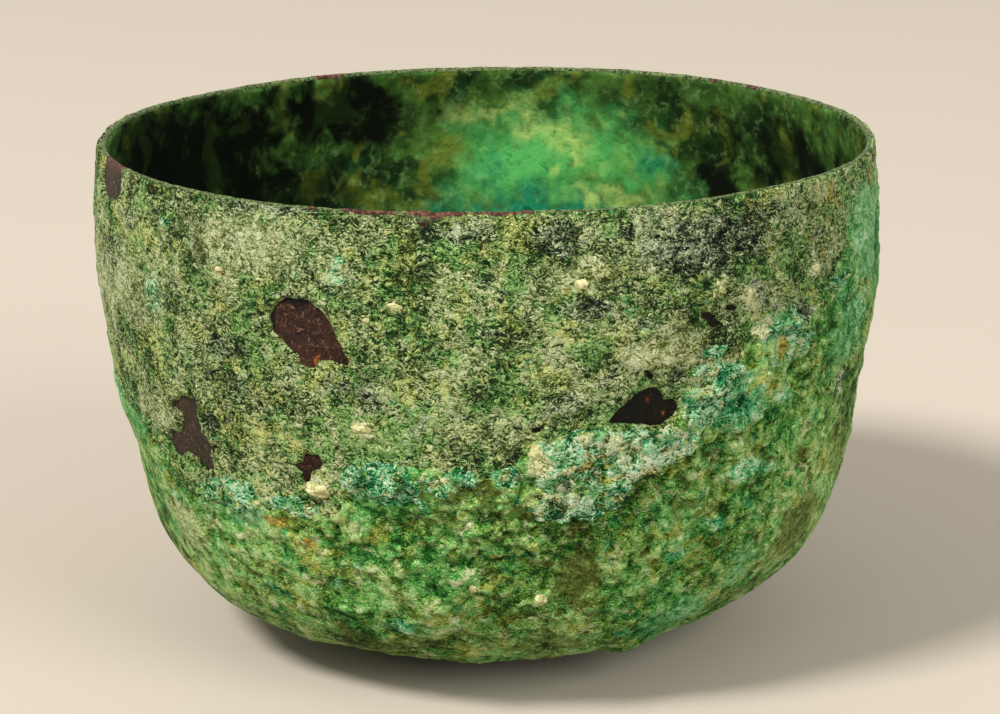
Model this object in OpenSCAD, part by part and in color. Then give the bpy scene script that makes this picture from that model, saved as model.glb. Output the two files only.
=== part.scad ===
// Ancient raised copper bowl: one hammered sheet that grew mineral layers while it lay buried.
// +Z is up. The origin is the centre of the flat spot that it rests on, and its front faces -Y.
// Angles round the bowl are counted from the front, positive towards +X.
// Places on the wall are given as an angle and a drop below the edge of the rim.

/* [Overall] */
// Outer diameter at the rim, over the mineral skin
rim_d = 150; // [125:1:190]
// Height from the rest face to the edge of the rim
height = 98; // [80:1:125]
// Diameter of the flat spot that the bowl rests on
rest_d = 56; // [40:1:70]

/* [Wall shape] */
// How far the shoulder stands outside the rim, on the radius
shoulder_swell = 0.5; // [0:0.1:3]
// How far below the rim the lower wall ends and the near-vertical upper wall begins
shoulder_drop = 32; // [20:1:40]
// Angle by which the wall still leans outward at the shoulder
wall_lean = 6; // [0:1:10]
// Angle at which the bottom leaves the surface it rests on
rise_angle = 18; // [8:1:24]
// How far the bottom keeps its own direction, as a share of its run
base_fullness = 0.72; // [0.5:0.01:0.8]
// How far the wall keeps its own direction, as a share of its rise
wall_fullness = 0.82; // [0.5:0.01:0.9]

/* [Layers] */
// Thickness of the hammered sheet
sheet_t = 1; // [0.7:0.1:1.6]
// Thickness of the mineral skin on the upper wall
patina_t = 0.6; // [0.4:0.1:1]
// Thickness of the mineral skin inside the bowl
lining_t = 0.4; // [0.3:0.1:1]
// Thickness of the burial crust under the base
crust_t = 1.6; // [1:0.1:2.4]

/* [Crust line] */
// Drop of the crust's upper edge below the rim, on the bowl's axis
crust_drop = 36; // [30:1:45]
// How much higher that edge stands at its high side, from the way the bowl lay in the ground
crust_rise = 30.3; // [0:0.1:32]
// Angle round the bowl of the high side
crust_high_side = 115; // [0:1:180]

/* [Raised minerals] */
// Width of the blue-green ledge that follows the crust's edge
ledge_w = 8; // [4:1:12]
// How far the ledge stands out of the wall
ledge_t = 0.6; // [0.4:0.1:1.2]
// Angle round the bowl at which the ledge begins
ledge_from = -20; // [-60:1:0]
// Angle round the bowl at which the ledge ends
ledge_to = 72; // [45:1:110]
// How far the mineral plate stands out of the wall
plate_t = 1.2; // [0.6:0.1:1.6]
// How far a lime nodule stands out, as a share of its radius
nodule_rise = 0.35; // [0.25:0.01:0.5]
// Width of a nodule's top, as a share of its foot
nodule_top = 0.6; // [0.4:0.05:0.8]

/* [Hidden] */

$fn = 180;
fine_fn = 720;
wall_steps = 26;
upper_steps = 6;
edge_steps = 8;
rest_r = rest_d / 2;
rim_r = rim_d / 2;
shoulder_r = rim_r + shoulder_swell;
shoulder_z = height - shoulder_drop;
edge_z = height - sheet_t / 2;
far = rim_d;
crust_tilt = atan(crust_rise / rim_r);
nodule_reach = 4;

// Round windows where the skin has flaked off the metal: [angle, drop below the rim, radius]
windows = [
    [-25.5, 21, 6.2],
    [-21, 26, 4.2],
    [-48.5, 43, 4],
    [-46.5, 48, 4.2],
    [-45.5, 52.5, 3],
    [-26, 47, 2.8],
    [-23.5, 49, 2.2],
    [19.5, 37.5, 3.2],
    [23.5, 35, 4],
    [31, 21.5, 2],
    [34.5, 20.5, 1.4],
    [-8, 1.5, 2.4],
];

// Round lobes that make up the mineral plate: [angle, drop below the rim, radius]
plate_lobes = [
    [14.5, 50, 7.5],
    [20, 48, 8],
    [26, 46.5, 6.5],
];

// Lime nodules on the skin and crust: [angle, drop below the rim, radius of the foot]
nodules = [
    [6.5, 44, 2.6],
    [-22, 52, 2.8],
    [-16, 40, 2],
    [-12, 16.5, 1.8],
    [-15.5, 19.5, 1.6],
    [12, 13.5, 2],
    [15.5, 11.5, 1.8],
    [23, 24.5, 2.4],
    [33, 15.5, 1.8],
    [37, 17.5, 1.6],
    [50, 16.5, 1.8],
    [-38, 13, 1.6],
    [8, 72, 1.8],
    [-2, 69.5, 1.8],
    [39.5, 69, 2.2],
];

// ---- the outline: bottom and lower wall as one smooth curve, upper wall as a shallow bow ----

run = shoulder_r - rest_r;
curve_ends = [
    [rest_r, 0],
    [rest_r, 0] + base_fullness * run * [cos(rise_angle), sin(rise_angle)],
    [shoulder_r, shoulder_z] - wall_fullness * shoulder_z * [sin(wall_lean), cos(wall_lean)],
    [shoulder_r, shoulder_z],
];

function curve_point(p, t) =
    pow(1 - t, 3) * p[0] + 3 * pow(1 - t, 2) * t * p[1] + 3 * (1 - t) * t * t * p[2] + pow(t, 3) * p[3];
function curve_heading(p, t) =
    3 * pow(1 - t, 2) * (p[1] - p[0]) + 6 * (1 - t) * t * (p[2] - p[1]) + 3 * t * t * (p[3] - p[2]);
function unit(v) = v / norm(v);

upper_rise = edge_z - shoulder_z;
lean_out = tan(wall_lean) * upper_rise;
function upper_point(u) =
    [shoulder_r + lean_out * u + (rim_r - shoulder_r - lean_out) * u * u, shoulder_z + upper_rise * u];

// Depth of the metal under the outside: the full crust at the base, thinning to the upper wall's skin
crust_fade_z = height - crust_drop;
function cover(z) =
    let (s = min(1, max(0, z / crust_fade_z)))
    patina_t + (crust_t - patina_t) * (1 - s * s * (3 - 2 * s));

// The outline moved inward by the cover, if in_metal is 1, and by a further depth
function inset_bottom(move) = [rest_r - move * tan(rise_angle / 2), move];
function inset_wall(p, heading, move) = p + move * [-heading.y, heading.x];
function outline(in_metal = 0, depth = 0) = [
    inset_bottom(in_metal * cover(0) + depth),
    for (i = [1:wall_steps])
        let (t = i / wall_steps, p = curve_point(curve_ends, t))
        inset_wall(p, unit(curve_heading(curve_ends, t)), in_metal * cover(p.y) + depth),
    for (i = [1:upper_steps])
        let (p = upper_point(i / upper_steps))
        [p.x - in_metal * cover(p.y) - depth, p.y],
];
function backwards(list) = [for (i = [len(list) - 1:-1:0]) list[i]];
function to_axis(list) = [0, list[0].y];
function wall_radius(z) = lookup(z, [for (p = outline()) [p.y, p.x]]);

// ---- solids shared by several pieces ----

module layer(outer, inner) {
    rotate_extrude()
        polygon(concat([to_axis(outer)], outer, backwards(inner), [to_axis(inner)]));
}

// Everything below the plane of the crust's upper edge, moved up by raise along that plane's normal
module below_crust_line(raise = 0) {
    translate([0, 0, height - crust_drop])
        rotate([0, 0, crust_high_side])
            rotate([-crust_tilt, 0, 0])
                translate([-far, -far, raise - 2 * far])
                    cube([2 * far, 2 * far, 2 * far]);
}

// A round bar that runs outward through the wall at one place
module bar_at(place, radius) {
    rotate([0, 0, place[0]])
        translate([0, -rest_r, height - place[1]])
            rotate([90, 0, 0])
                cylinder(r = radius, h = far);
}

module windows_cut() {
    for (w = windows)
        bar_at(w, w[2]);
}

module plate_bars() {
    for (p = plate_lobes)
        bar_at(p, p[2]);
}

// A blunt cone that starts inside the wall and stands out of it: what shows outside is one nodule
module nodule_cone(place) {
    foot_r = place[2];
    rise = foot_r * nodule_rise;
    rotate([0, 0, place[0]])
        translate([0, -wall_radius(height - place[1]), height - place[1]])
            rotate([90, 0, 0])
                cylinder(r1 = foot_r, r2 = foot_r * nodule_top, h = 2 * rise, center = true);
}

module nodule_cones() {
    for (n = nodules)
        nodule_cone(n);
}

// The part of the round that the ledge covers
module ledge_sector() {
    span = ledge_to - ledge_from;
    rotate([0, 0, ledge_from - 90])
        rotate_extrude(angle = span)
            square([far, height]);
}

// ---- the pieces ----

// The raised sheet, from the middle of the base up to its rounded edge
module copper_shell() {
    outer = outline(1);
    inner = outline(1, sheet_t);
    edge = (outer[len(outer) - 1] + inner[len(inner) - 1]) / 2;
    color([0.36, 0.2, 0.15])
        rotate_extrude()
            polygon(concat(
                [to_axis(outer)],
                outer,
                [for (i = [1:edge_steps - 1])
                    edge + sheet_t / 2 * [cos(180 * i / edge_steps), sin(180 * i / edge_steps)]],
                backwards(inner),
                [to_axis(inner)]
            ));
}

// The granular skin on the upper wall, open at the flaked windows
module outer_patina() {
    color([0.5, 0.55, 0.34])
        difference() {
            layer(outline(), outline(1));
            below_crust_line();
            windows_cut();
        }
}

// The thin skin on the inside
module inner_patina() {
    color([0.1, 0.36, 0.24])
        layer(outline(1, sheet_t), outline(1, sheet_t + lining_t));
}

// The lumpy burial crust on the lower wall and under the base
module lower_crust() {
    color([0.36, 0.56, 0.33])
        difference() {
            intersection() {
                layer(outline(), outline(1));
                below_crust_line();
            }
            windows_cut();
        }
}

// The blue-green ledge that follows the crust's upper edge round the front
module mineral_ledge() {
    color([0.25, 0.62, 0.45])
        difference() {
            intersection() {
                layer(outline(0, -ledge_t), outline());
                below_crust_line(ledge_w / 2);
                ledge_sector();
            }
            below_crust_line(-ledge_w / 2);
            windows_cut();
            plate_bars();
            nodule_cones();
        }
}

// The raised plate of pale and blue-green mineral under the ledge
module mineral_plate() {
    color([0.55, 0.72, 0.55])
        difference() {
            intersection() {
                layer(outline(0, -plate_t), outline());
                plate_bars();
            }
            windows_cut();
        }
}

// Cream lime nodules, each a separate low lump on the wall
module lime_nodules() {
    color([0.8, 0.76, 0.58])
        intersection() {
            nodule_cones();
            layer(outline(0, -nodule_reach), outline(), $fn = fine_fn);
        }
}

copper_shell();
outer_patina();
inner_patina();
lower_crust();
mineral_ledge();
mineral_plate();
lime_nodules();
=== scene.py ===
"""An ancient raised copper bowl: one hammered sheet under the mineral layers that grew on it in the ground.

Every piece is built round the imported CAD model, in its frame: +Z up, the front towards -Y. Places on the wall are
an angle from the front in degrees, positive towards +X, and a height above the rest face in millimetres.
"""
import math

import bmesh
import bpy
import numpy as np
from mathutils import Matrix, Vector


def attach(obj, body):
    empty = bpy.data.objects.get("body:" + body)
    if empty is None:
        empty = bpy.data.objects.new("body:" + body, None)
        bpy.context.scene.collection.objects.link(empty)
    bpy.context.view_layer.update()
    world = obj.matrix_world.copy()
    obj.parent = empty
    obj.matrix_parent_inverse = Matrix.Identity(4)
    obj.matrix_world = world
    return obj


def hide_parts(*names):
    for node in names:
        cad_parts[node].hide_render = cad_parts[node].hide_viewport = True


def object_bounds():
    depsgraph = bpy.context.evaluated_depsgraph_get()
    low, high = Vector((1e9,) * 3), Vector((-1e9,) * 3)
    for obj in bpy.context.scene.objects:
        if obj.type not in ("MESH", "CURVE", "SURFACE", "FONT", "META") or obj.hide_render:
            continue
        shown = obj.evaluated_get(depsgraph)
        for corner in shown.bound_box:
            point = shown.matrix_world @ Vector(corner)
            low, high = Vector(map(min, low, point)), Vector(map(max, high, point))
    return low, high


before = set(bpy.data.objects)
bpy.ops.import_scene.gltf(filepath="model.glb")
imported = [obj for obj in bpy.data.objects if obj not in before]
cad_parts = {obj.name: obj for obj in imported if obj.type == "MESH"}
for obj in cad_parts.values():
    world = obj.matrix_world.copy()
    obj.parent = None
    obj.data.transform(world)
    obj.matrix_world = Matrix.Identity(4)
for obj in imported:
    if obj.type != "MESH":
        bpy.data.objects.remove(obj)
CAD_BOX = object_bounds()
MM = 0.001

# ---- Sizes, in millimetres and degrees ----

HEIGHT = CAD_BOX[1][2] / MM
REST_R = 28.0
RIM_R = 75.0
SHOULDER_R = 75.5
SHOULDER_Z = HEIGHT - 32.0
WALL_LEAN = 6.0
RISE_ANGLE = 18.0
BASE_FULLNESS = 0.72
WALL_FULLNESS = 0.82
SHEET_T = 1.0
LINING_T = 0.4
PATINA_T = 0.6
CRUST_T = 1.6
CRUST_FADE_Z = HEIGHT - 36.0
WALL_MIDDLE_R = 74.0
# The hole that a grid round the axis leaves in the middle, before it is closed
MIDDLE_HOLE = 0.4
# How far the skin's hidden side goes into the metal, and how far its edge runs on, buried, inside a window
TUCK = 0.25
WINDOW_LIP = 0.7
# How far skin and crust run on past the line where they meet, and how far the skin stops short of the rim's edge
SKIN_PAST_LINE = 4.0
CRUST_PAST_LINE = 3.5
SKIN_SHORT_OF_EDGE = 0.35
FINE = 1.0
# The most triangles that one piece keeps
MOST_FACES = 195000


# ---- Repeatable noise ----


def cell_value(cell, seed):
    """A value from 0 to 1 for each integer cell (..., 3), always the same for the same seed."""
    x, y, z = (cell[..., k].astype(np.int64) for k in range(3))
    h = (x * 73856093) ^ (y * 19349663) ^ (z * 83492791) ^ (seed * 2654435761)
    h = h.astype(np.uint64) & np.uint64(0xFFFFFFFF)
    for shift, factor in ((15, 0x2C1B3C6D), (12, 0x297A2D39)):
        h = ((h ^ (h >> np.uint64(shift))) * np.uint64(factor)) & np.uint64(0xFFFFFFFF)
    h = h ^ (h >> np.uint64(15))
    return h.astype(np.float64) / 0xFFFFFFFF


def noise(points, size, seed):
    """Smooth noise from -1 to 1, with features about size across."""
    p = points / size
    low = np.floor(p)
    t = p - low
    t = t * t * t * (t * (t * 6 - 15) + 10)
    total = 0
    for corner in np.ndindex(2, 2, 2):
        weight = np.prod([t[..., k] if corner[k] else 1 - t[..., k] for k in range(3)], axis=0)
        total = total + weight * cell_value(low + corner, seed)
    return 2 * total - 1


def fractal(points, size, seed, octaves=4, gain=0.5):
    """Noise with finer noise on it, roughly from -1 to 1."""
    total, weight, whole = 0, 1.0, 0.0
    for k in range(octaves):
        total = total + weight * noise(points, size / 2**k, seed + k)
        whole += weight
        weight *= gain
    return total / whole * 1.5


def grains(points, size, seed, jitter=0.9):
    """Distance to the nearest and second nearest of one point a cell, in cells."""
    p = points / size
    low = np.floor(p)
    first = np.full(p.shape[:-1], 9.0)
    second = first.copy()
    for step in np.ndindex(3, 3, 3):
        cell = low + np.array(step) - 1
        spot = cell + 0.5
        for k in range(3):
            spot[..., k] += jitter * (cell_value(cell, seed + 11 * k) - 0.5)
        d = np.sqrt(((p - spot) ** 2).sum(-1))
        second = np.minimum(second, np.maximum(first, d))
        first = np.minimum(first, d)
    return first, second


def smooth(low, high, x):
    """0 below low, 1 above high, and a smooth step between; low may be the larger."""
    t = np.clip((x - low) / (high - low), 0, 1)
    return t * t * (3 - 2 * t)


# ---- The outline, and the bowl's true, uneven shape ----


def outline():
    """Length along the outside from the middle of the base, radius, height and outward normal there."""
    lean, rise = math.radians(WALL_LEAN), math.radians(RISE_ANGLE)
    start, end = np.array([REST_R, 0.0]), np.array([SHOULDER_R, SHOULDER_Z])
    near = start + BASE_FULLNESS * (SHOULDER_R - REST_R) * np.array([math.cos(rise), math.sin(rise)])
    away = end - WALL_FULLNESS * SHOULDER_Z * np.array([math.sin(lean), math.cos(lean)])
    t = np.linspace(0, 1, 400)[:, None]
    wall = (1 - t) ** 3 * start + 3 * (1 - t) ** 2 * t * near + 3 * (1 - t) * t * t * away + t**3 * end
    u = np.linspace(0, 1, 160)[1:, None]
    lean_out = math.tan(lean) * (HEIGHT - SHOULDER_Z)
    upper = np.hstack([
        SHOULDER_R + lean_out * u + (RIM_R - SHOULDER_R - lean_out) * u * u,
        SHOULDER_Z + (HEIGHT - SHOULDER_Z) * u,
    ])
    base = np.hstack([np.linspace(0, REST_R, 120)[:-1, None], np.zeros((119, 1))])
    line = np.vstack([base, wall, upper])
    length = np.concatenate([[0], np.cumsum(np.hypot(*np.diff(line, axis=0).T))])
    even = np.linspace(0, length[-1], 1200)
    r, z = np.interp(even, length, line[:, 0]), np.interp(even, length, line[:, 1])
    heading = np.stack([np.gradient(r), np.gradient(z)])
    soft = np.ones(31) / 31
    heading = np.stack([np.convolve(np.pad(h, 15, mode="edge"), soft, mode="valid") for h in heading])
    heading /= np.hypot(*heading)
    return even, r, z, heading[1], -heading[0]


LINE_S, LINE_R, LINE_Z, LINE_NR, LINE_NZ = outline()
WHOLE_S = LINE_S[-1]
REST_S = REST_R


def length_at(z):
    """Length along the outside at a height above the rest face."""
    start = np.searchsorted(LINE_S, REST_S)
    return np.interp(z, LINE_Z[start:], LINE_S[start:])


def height_at(s):
    return np.interp(s, LINE_S, LINE_Z)


def cover(s):
    """Depth of the metal under the outside."""
    return PATINA_T + (CRUST_T - PATINA_T) * smooth(CRUST_FADE_Z, 0, height_at(s))


def across(az, az0):
    """Millimetres round the wall from one angle to another, the short way."""
    return np.radians((az - az0 + 180) % 360 - 180) * WALL_MIDDLE_R


def hills(az, z, places):
    """The sum of soft hills: (angle, height, half width, half height, rise), in degrees and millimetres."""
    total = np.zeros(np.broadcast(az, z).shape)
    for az0, z0, wide, tall, rise in places:
        total += rise * np.exp(-((across(az, az0) / wide) ** 2) - ((z - z0) / tall) ** 2)
    return total


# Where the real wall stands out of or falls inside a true round
DENTS = [
    (-84, 58, 22, 10, -0.5), (-80, 37, 24, 9, -1.7), (-66, 27, 16, 6, -0.7), (-45, 10, 26, 6, 1.1),
    (80, 74, 30, 20, 0.3), (82, 46, 24, 10, -0.3), (66, 24, 18, 9, 0.8), (44, 14, 22, 8, -1.3),
    (14, 10, 26, 7, -0.5), (-30, 12, 24, 8, 0.3), (160, 60, 40, 22, 0.8), (-140, 45, 34, 20, -0.8),
    (120, 30, 30, 16, 0.6), (84, 88, 22, 10, -0.9),
]
RIM_TILT = 0.5
RIM_TILT_TO = 90


def rim_wave(az):
    """How far the rim's edge stands above or below a level line."""
    a = np.radians(az)
    tilt = RIM_TILT * np.cos(a - math.radians(RIM_TILT_TO))
    back = 0.6 * np.exp(-(((az % 360 - 175) / 55) ** 2))
    return tilt + back + 0.15 * np.sin(3 * a + 0.6) + 0.1 * np.sin(7 * a + 2.0)


def place(az, s, depth):
    """Points in millimetres at an angle, a length along the outside and a depth under it."""
    az, s, depth = np.broadcast_arrays(az, s, depth)
    z0 = height_at(s)
    r = np.interp(s, LINE_S, LINE_R) - depth * np.interp(s, LINE_S, LINE_NR)
    z = z0 - depth * np.interp(s, LINE_S, LINE_NZ)
    r = r + hills(az, z0, DENTS) * smooth(0, 12, z0)
    z = z + rim_wave(az) * smooth(HEIGHT - 45, HEIGHT, z0)
    a = np.radians(az)
    return np.stack([r * np.sin(a), -r * np.cos(a), z], -1)


# ---- Regions: outlines and spots as (angle, height) ----

WINDOWS = [
    # the large oval with a tail to its lower right
    [(-30, 77.5), (-29.2, 79.8), (-27.4, 81.7), (-25.6, 82.3), (-24, 81.6), (-21.4, 79.4), (-20.3, 77),
     (-19.4, 74.2), (-18.1, 71.6), (-18.8, 70.2), (-21, 70.6), (-22.8, 70.4), (-23.6, 68.9), (-25.6, 69.5),
     (-26, 71.6), (-28, 72.9), (-29.5, 74.8)],
    # the ragged patch on the left
    [(-48.3, 58.8), (-44.6, 58.9), (-44.6, 56), (-44.2, 53), (-42.7, 50.6), (-43.2, 48.6), (-42.6, 46.4),
     (-43.4, 44.8), (-45.2, 44.3), (-46, 46), (-48, 46.8), (-49.4, 46.8), (-51.2, 45.4), (-53, 45.4), (-53.8, 47.4),
     (-53.2, 50), (-51.4, 51), (-49.9, 50.9), (-49.2, 53), (-49.3, 55), (-50.9, 55.4), (-50.8, 57)],
    # the small dark one above the lime nodule
    [(-25.9, 52.8), (-23.4, 52.8), (-22.8, 51), (-23.8, 49.4), (-25, 48.8), (-25.3, 46.8), (-26.6, 46.8),
     (-26.8, 48.9), (-28, 49.7), (-28.2, 50.5), (-26.6, 50.8)],
    # the half moon over the mineral plate
    [(16.3, 60.1), (17.7, 62.6), (19.5, 64.6), (21.8, 66), (23.7, 65.2), (24.6, 63.4), (26.2, 63), (26.9, 61.4),
     (26.2, 59.6), (24, 58.4), (20, 58.7), (17.5, 59.4)],
    [(29.2, 78.5), (31, 78.2), (32.5, 76.2), (32.6, 75), (30.9, 75.1), (30.1, 76.8), (29.1, 77.3)],
    [(33.2, 78.4), (34, 78.9), (35.3, 78.3), (35, 77.1), (33.5, 77.2)],
    [(21, 69.2), (22, 69), (22.8, 67.3), (22.2, 66.6), (21.3, 67.4)],
    [(-9.9, 99), (-9.6, 96.5), (-8.9, 95.4), (-7.8, 95.2), (-7, 96.4), (-5.8, 96.8), (-5.3, 99)],
    [(-42.3, 51.1), (-40.4, 50.7), (-40.3, 50.1), (-42, 50.2)],
    [(5.6, 60), (7.2, 60.4), (7.6, 59.2), (6, 58.7)],
    [(-51.8, 99), (-52, 97.4), (-50.6, 97.2), (-50.2, 99)],
    [(-25.6, 44.2), (-25, 44.1), (-24.9, 43), (-25.6, 43.1)],
]

# The crust's upper edge, all the way round
CRUST_EDGE = [
    (-180, 70), (-160, 62), (-135, 54), (-110, 50), (-90, 53), (-80, 55), (-70, 53.5), (-62, 50), (-54, 44),
    (-46, 42.5), (-42, 44.5), (-36, 44.5), (-30, 43), (-25, 43), (-21, 45), (-18.8, 51), (-16.5, 53.5), (-11, 54),
    (-5, 52.8), (1, 52.8), (3.5, 54.5), (5, 58), (9, 59.5), (15, 59.6), (20, 58.4), (26.5, 59), (27.5, 63.5),
    (29, 66.5), (32, 67.5), (35, 70.5), (38.5, 74), (42, 75), (47, 75.6), (51, 77), (55, 80), (58, 84), (61, 89),
    (66, 94), (80, 95), (100, 94), (125, 92), (150, 82), (180, 70),
]

# Turns a height above the crust's edge into a distance from it, since the edge runs uphill
CRUST_EDGE_SLOPE = 0.75

PLATE = [(5.2, 52.5), (8.5, 57.5), (13, 59.2), (20, 58.4), (26, 58.8), (29.5, 56.5), (29.8, 53), (27, 50.5),
         (22.5, 49.5), (19.5, 47), (18.5, 43.5), (15, 41.6), (10, 41.2), (6.2, 42), (5.2, 45), (6, 48)]


def signed_distance(az, z, corners):
    """Millimetres from an outline on the wall, negative inside it."""
    middle = sum(c[0] for c in corners) / len(corners)
    x, y = across(az, middle), z
    px = np.array([math.radians(c[0] - middle) * WALL_MIDDLE_R for c in corners])
    py = np.array([c[1] for c in corners], float)
    nearest = np.full(x.shape, 1e9)
    inside = np.zeros(x.shape, bool)
    for k in range(len(corners)):
        ax, ay, bx, by = px[k - 1], py[k - 1], px[k], py[k]
        ex, ey = bx - ax, by - ay
        t = np.clip(((x - ax) * ex + (y - ay) * ey) / (ex * ex + ey * ey), 0, 1)
        nearest = np.minimum(nearest, np.hypot(x - ax - t * ex, y - ay - t * ey))
        crosses = (ay > y) != (by > y)
        with np.errstate(divide="ignore", invalid="ignore"):
            inside ^= crosses & (x < ax + (y - ay) * ex / (by - ay if by != ay else 1e-9))
    return np.where(inside, -nearest, nearest)


def crust_edge(az):
    a = (az + 180) % 360 - 180
    return np.interp(a, [c[0] for c in CRUST_EDGE], [c[1] for c in CRUST_EDGE])


class Wall:
    """The grid of one outside piece, with what is worked out on it."""

    def __init__(self, az, s):
        self.az, self.s = np.broadcast_arrays(az, s)
        self.z = height_at(self.s)
        self.at = place(self.az, self.s, 0.0)
        self.wander_az = fractal(self.at, 3.0, 101, 3) * 0.9
        self.wander_z = fractal(self.at, 3.0, 131, 3) * 0.9

    def under(self, depth):
        """The grid's points at a depth under the plain outside."""
        return place(self.az, self.s, depth)

    def warped(self, amount):
        """The grid's places, pushed about a little, so that an edge drawn on them comes out ragged."""
        az = self.az + np.degrees(self.wander_az * amount / WALL_MIDDLE_R)
        return az, self.z + self.wander_z * amount

    def window_distance(self):
        az, z = self.warped(0.45)
        return np.min([signed_distance(az, z, w) for w in WINDOWS], axis=0)

    def crust_distance(self):
        """Millimetres above the crust's edge, negative within the crust."""
        az, z = self.warped(1.3)
        return (z - crust_edge(az)) * CRUST_EDGE_SLOPE

    def spots(self, places, warp=1.5, soft=0.5):
        """Soft-edged blots: (angle, height, half width, half height, strength)."""
        az, z = self.warped(warp)
        out = np.zeros(az.shape)
        for az0, z0, wide, tall, strength in places:
            d = np.hypot(across(az, az0) / wide, (z - z0) / tall)
            out = np.maximum(out, strength * smooth(1 + soft, 1 - soft, d))
        return out


# ---- Blots of colour: (angle, height, half width mm, half height mm, strength) ----

TEAL = [
    (-15, 49, 7, 4.5, 1), (-5, 49.5, 7, 2.6, 0.5), (3, 51, 4, 2, 0.6), (8, 56, 3.5, 2, 0.7),
    (14, 55, 6, 3, 0.8), (21, 55, 6, 3, 1), (26.5, 55.5, 4, 2.5, 0.9), (12, 45, 6, 3, 0.45), (31, 63, 5, 5, 1),
    (36, 60, 7, 6, 0.7), (33, 66, 6, 3, 0.9), (31, 71, 2.5, 1.5, 0.8), (42, 64, 8, 6, 0.45),
    (45, 72, 5, 3, 0.8), (41, 73, 4, 2, 0.7), (50, 68, 6, 4, 0.45), (40, 47, 8, 3, 0.7), (45, 60, 4, 2, 0.7),
    (33, 52, 8, 4, 0.45), (35, 37, 3, 1.8, 0.7), (28.5, 32, 2, 1.8, 0.9), (24, 15, 3, 2.5, 0.9),
    (-20, 31.5, 1.8, 1.2, 0.8), (-23.5, 26.5, 2, 1.6, 0.7), (-14.5, 18.8, 4, 1.6, 0.7), (-39, 42, 6, 3.2, 0.9),
    (-30, 42.5, 7, 1.6, 0.8), (-44, 41, 4, 2, 0.5), (-55, 37, 3, 1.5, 0.6), (-52.5, 77, 3, 4.5, 0.6),
    (-50, 67, 4, 3, 0.4), (-20, 87, 2, 3, 0.6), (-49, 91, 1.8, 1.6, 0.8), (65, 70, 12, 4, 0.55),
    (57, 77.5, 4, 2, 0.8), (64, 83, 6, 2, 0.7), (70, 72, 10, 3, 0.5), (43, 31, 5, 3, 0.35),
    (16, 57, 1.5, 4, 0.6), (17, 52, 1, 2, 0.9), (-9, 45, 2, 1.5, 0.7), (3, 20, 8, 5, 0.3),
    (-75, 53, 10, 3, 0.5), (18, 35.5, 1.4, 1.2, 0.8), (95, 60, 16, 9, 0.5), (140, 70, 18, 8, 0.6),
    (-125, 47, 18, 6, 0.6), (178, 58, 15, 7, 0.5), (-165, 40, 10, 6, 0.5),
]
SEA_SPOTS = [
    (-38, 40, 8, 4, 0.9), (-47, 38, 7, 4, 0.5), (68, 84, 14, 13, 0.75), (62, 68, 10, 9, 0.7),
    (43, 27, 7, 6, 0.6), (33, 16, 10, 5, 1), (-65, 48, 14, 5, 0.5), (-78, 52, 14, 5, 0.8), (5, 30, 8, 9, 0.35),
    (-50, 65, 7, 6, 0.35), (-63, 30, 12, 8, 0.4), (20, 20, 8, 5, 0.3), (-35, 33, 8, 4, 0.35),
    (-70, 78, 8, 8, 0.3), (85, 80, 20, 14, 0.8), (28, 42, 10, 6, 0.35), (110, 50, 24, 20, 0.5),
    (150, 45, 24, 18, 0.5), (-150, 30, 24, 12, 0.5),
]
LIME = [
    (-24, 46.6, 3, 2, 1), (-16.7, 59, 2.2, 1.6, 0.9), (-12, 81.6, 1.8, 1.3, 0.8), (-15.7, 79, 1, 1, 0.7),
    (14.5, 87, 3.8, 1.8, 0.85), (11.5, 84.5, 1.6, 1.4, 0.7), (24, 72, 7, 4, 0.7), (32, 82.3, 1.9, 2, 0.75),
    (37, 79.5, 1.8, 3, 0.65), (39, 72.8, 2, 1.5, 0.95), (29, 65, 3, 3, 0.6), (34.5, 69.5, 3, 1.5, 0.7),
    (6.8, 54, 2, 2.6, 1), (22.5, 50.5, 4, 1.6, 0.8), (17, 56.5, 5, 2, 0.6), (25, 57.5, 5, 1.4, 0.6),
    (9, 46.5, 6, 3.6, 0.55), (-55, 53.5, 6, 3.4, 0.55), (-40.5, 48, 2.4, 1.6, 0.6), (-26.5, 65, 3, 2, 0.45),
    (-30, 68.3, 1.5, 2, 0.5), (-62, 74, 5, 3, 0.5), (-53.5, 29, 5, 2.4, 0.5), (8.2, 26, 1.6, 1.2, 1),
    (-2, 28.5, 1.2, 1.4, 0.7), (2.5, 16.5, 2.4, 1.6, 0.5), (-8.6, 22, 2.2, 4.4, 0.5), (50.5, 82, 2, 1.4, 0.8),
    (-2, 57.5, 3, 1.6, 0.3), (42, 30, 3, 1.5, 0.45), (41, 25, 3, 1.5, 0.4), (-50, 40, 3, 2, 0.3),
    (58, 69.5, 2, 1.5, 0.5), (25.5, 16, 1.5, 2, 0.5), (31.5, 8, 5, 2, 0.5), (65, 57, 7, 2.4, 0.35),
    (-18, 23, 4, 1.2, 0.35), (130, 40, 6, 4, 0.5), (-110, 65, 6, 3, 0.5), (170, 80, 7, 3, 0.5),
]
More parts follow.
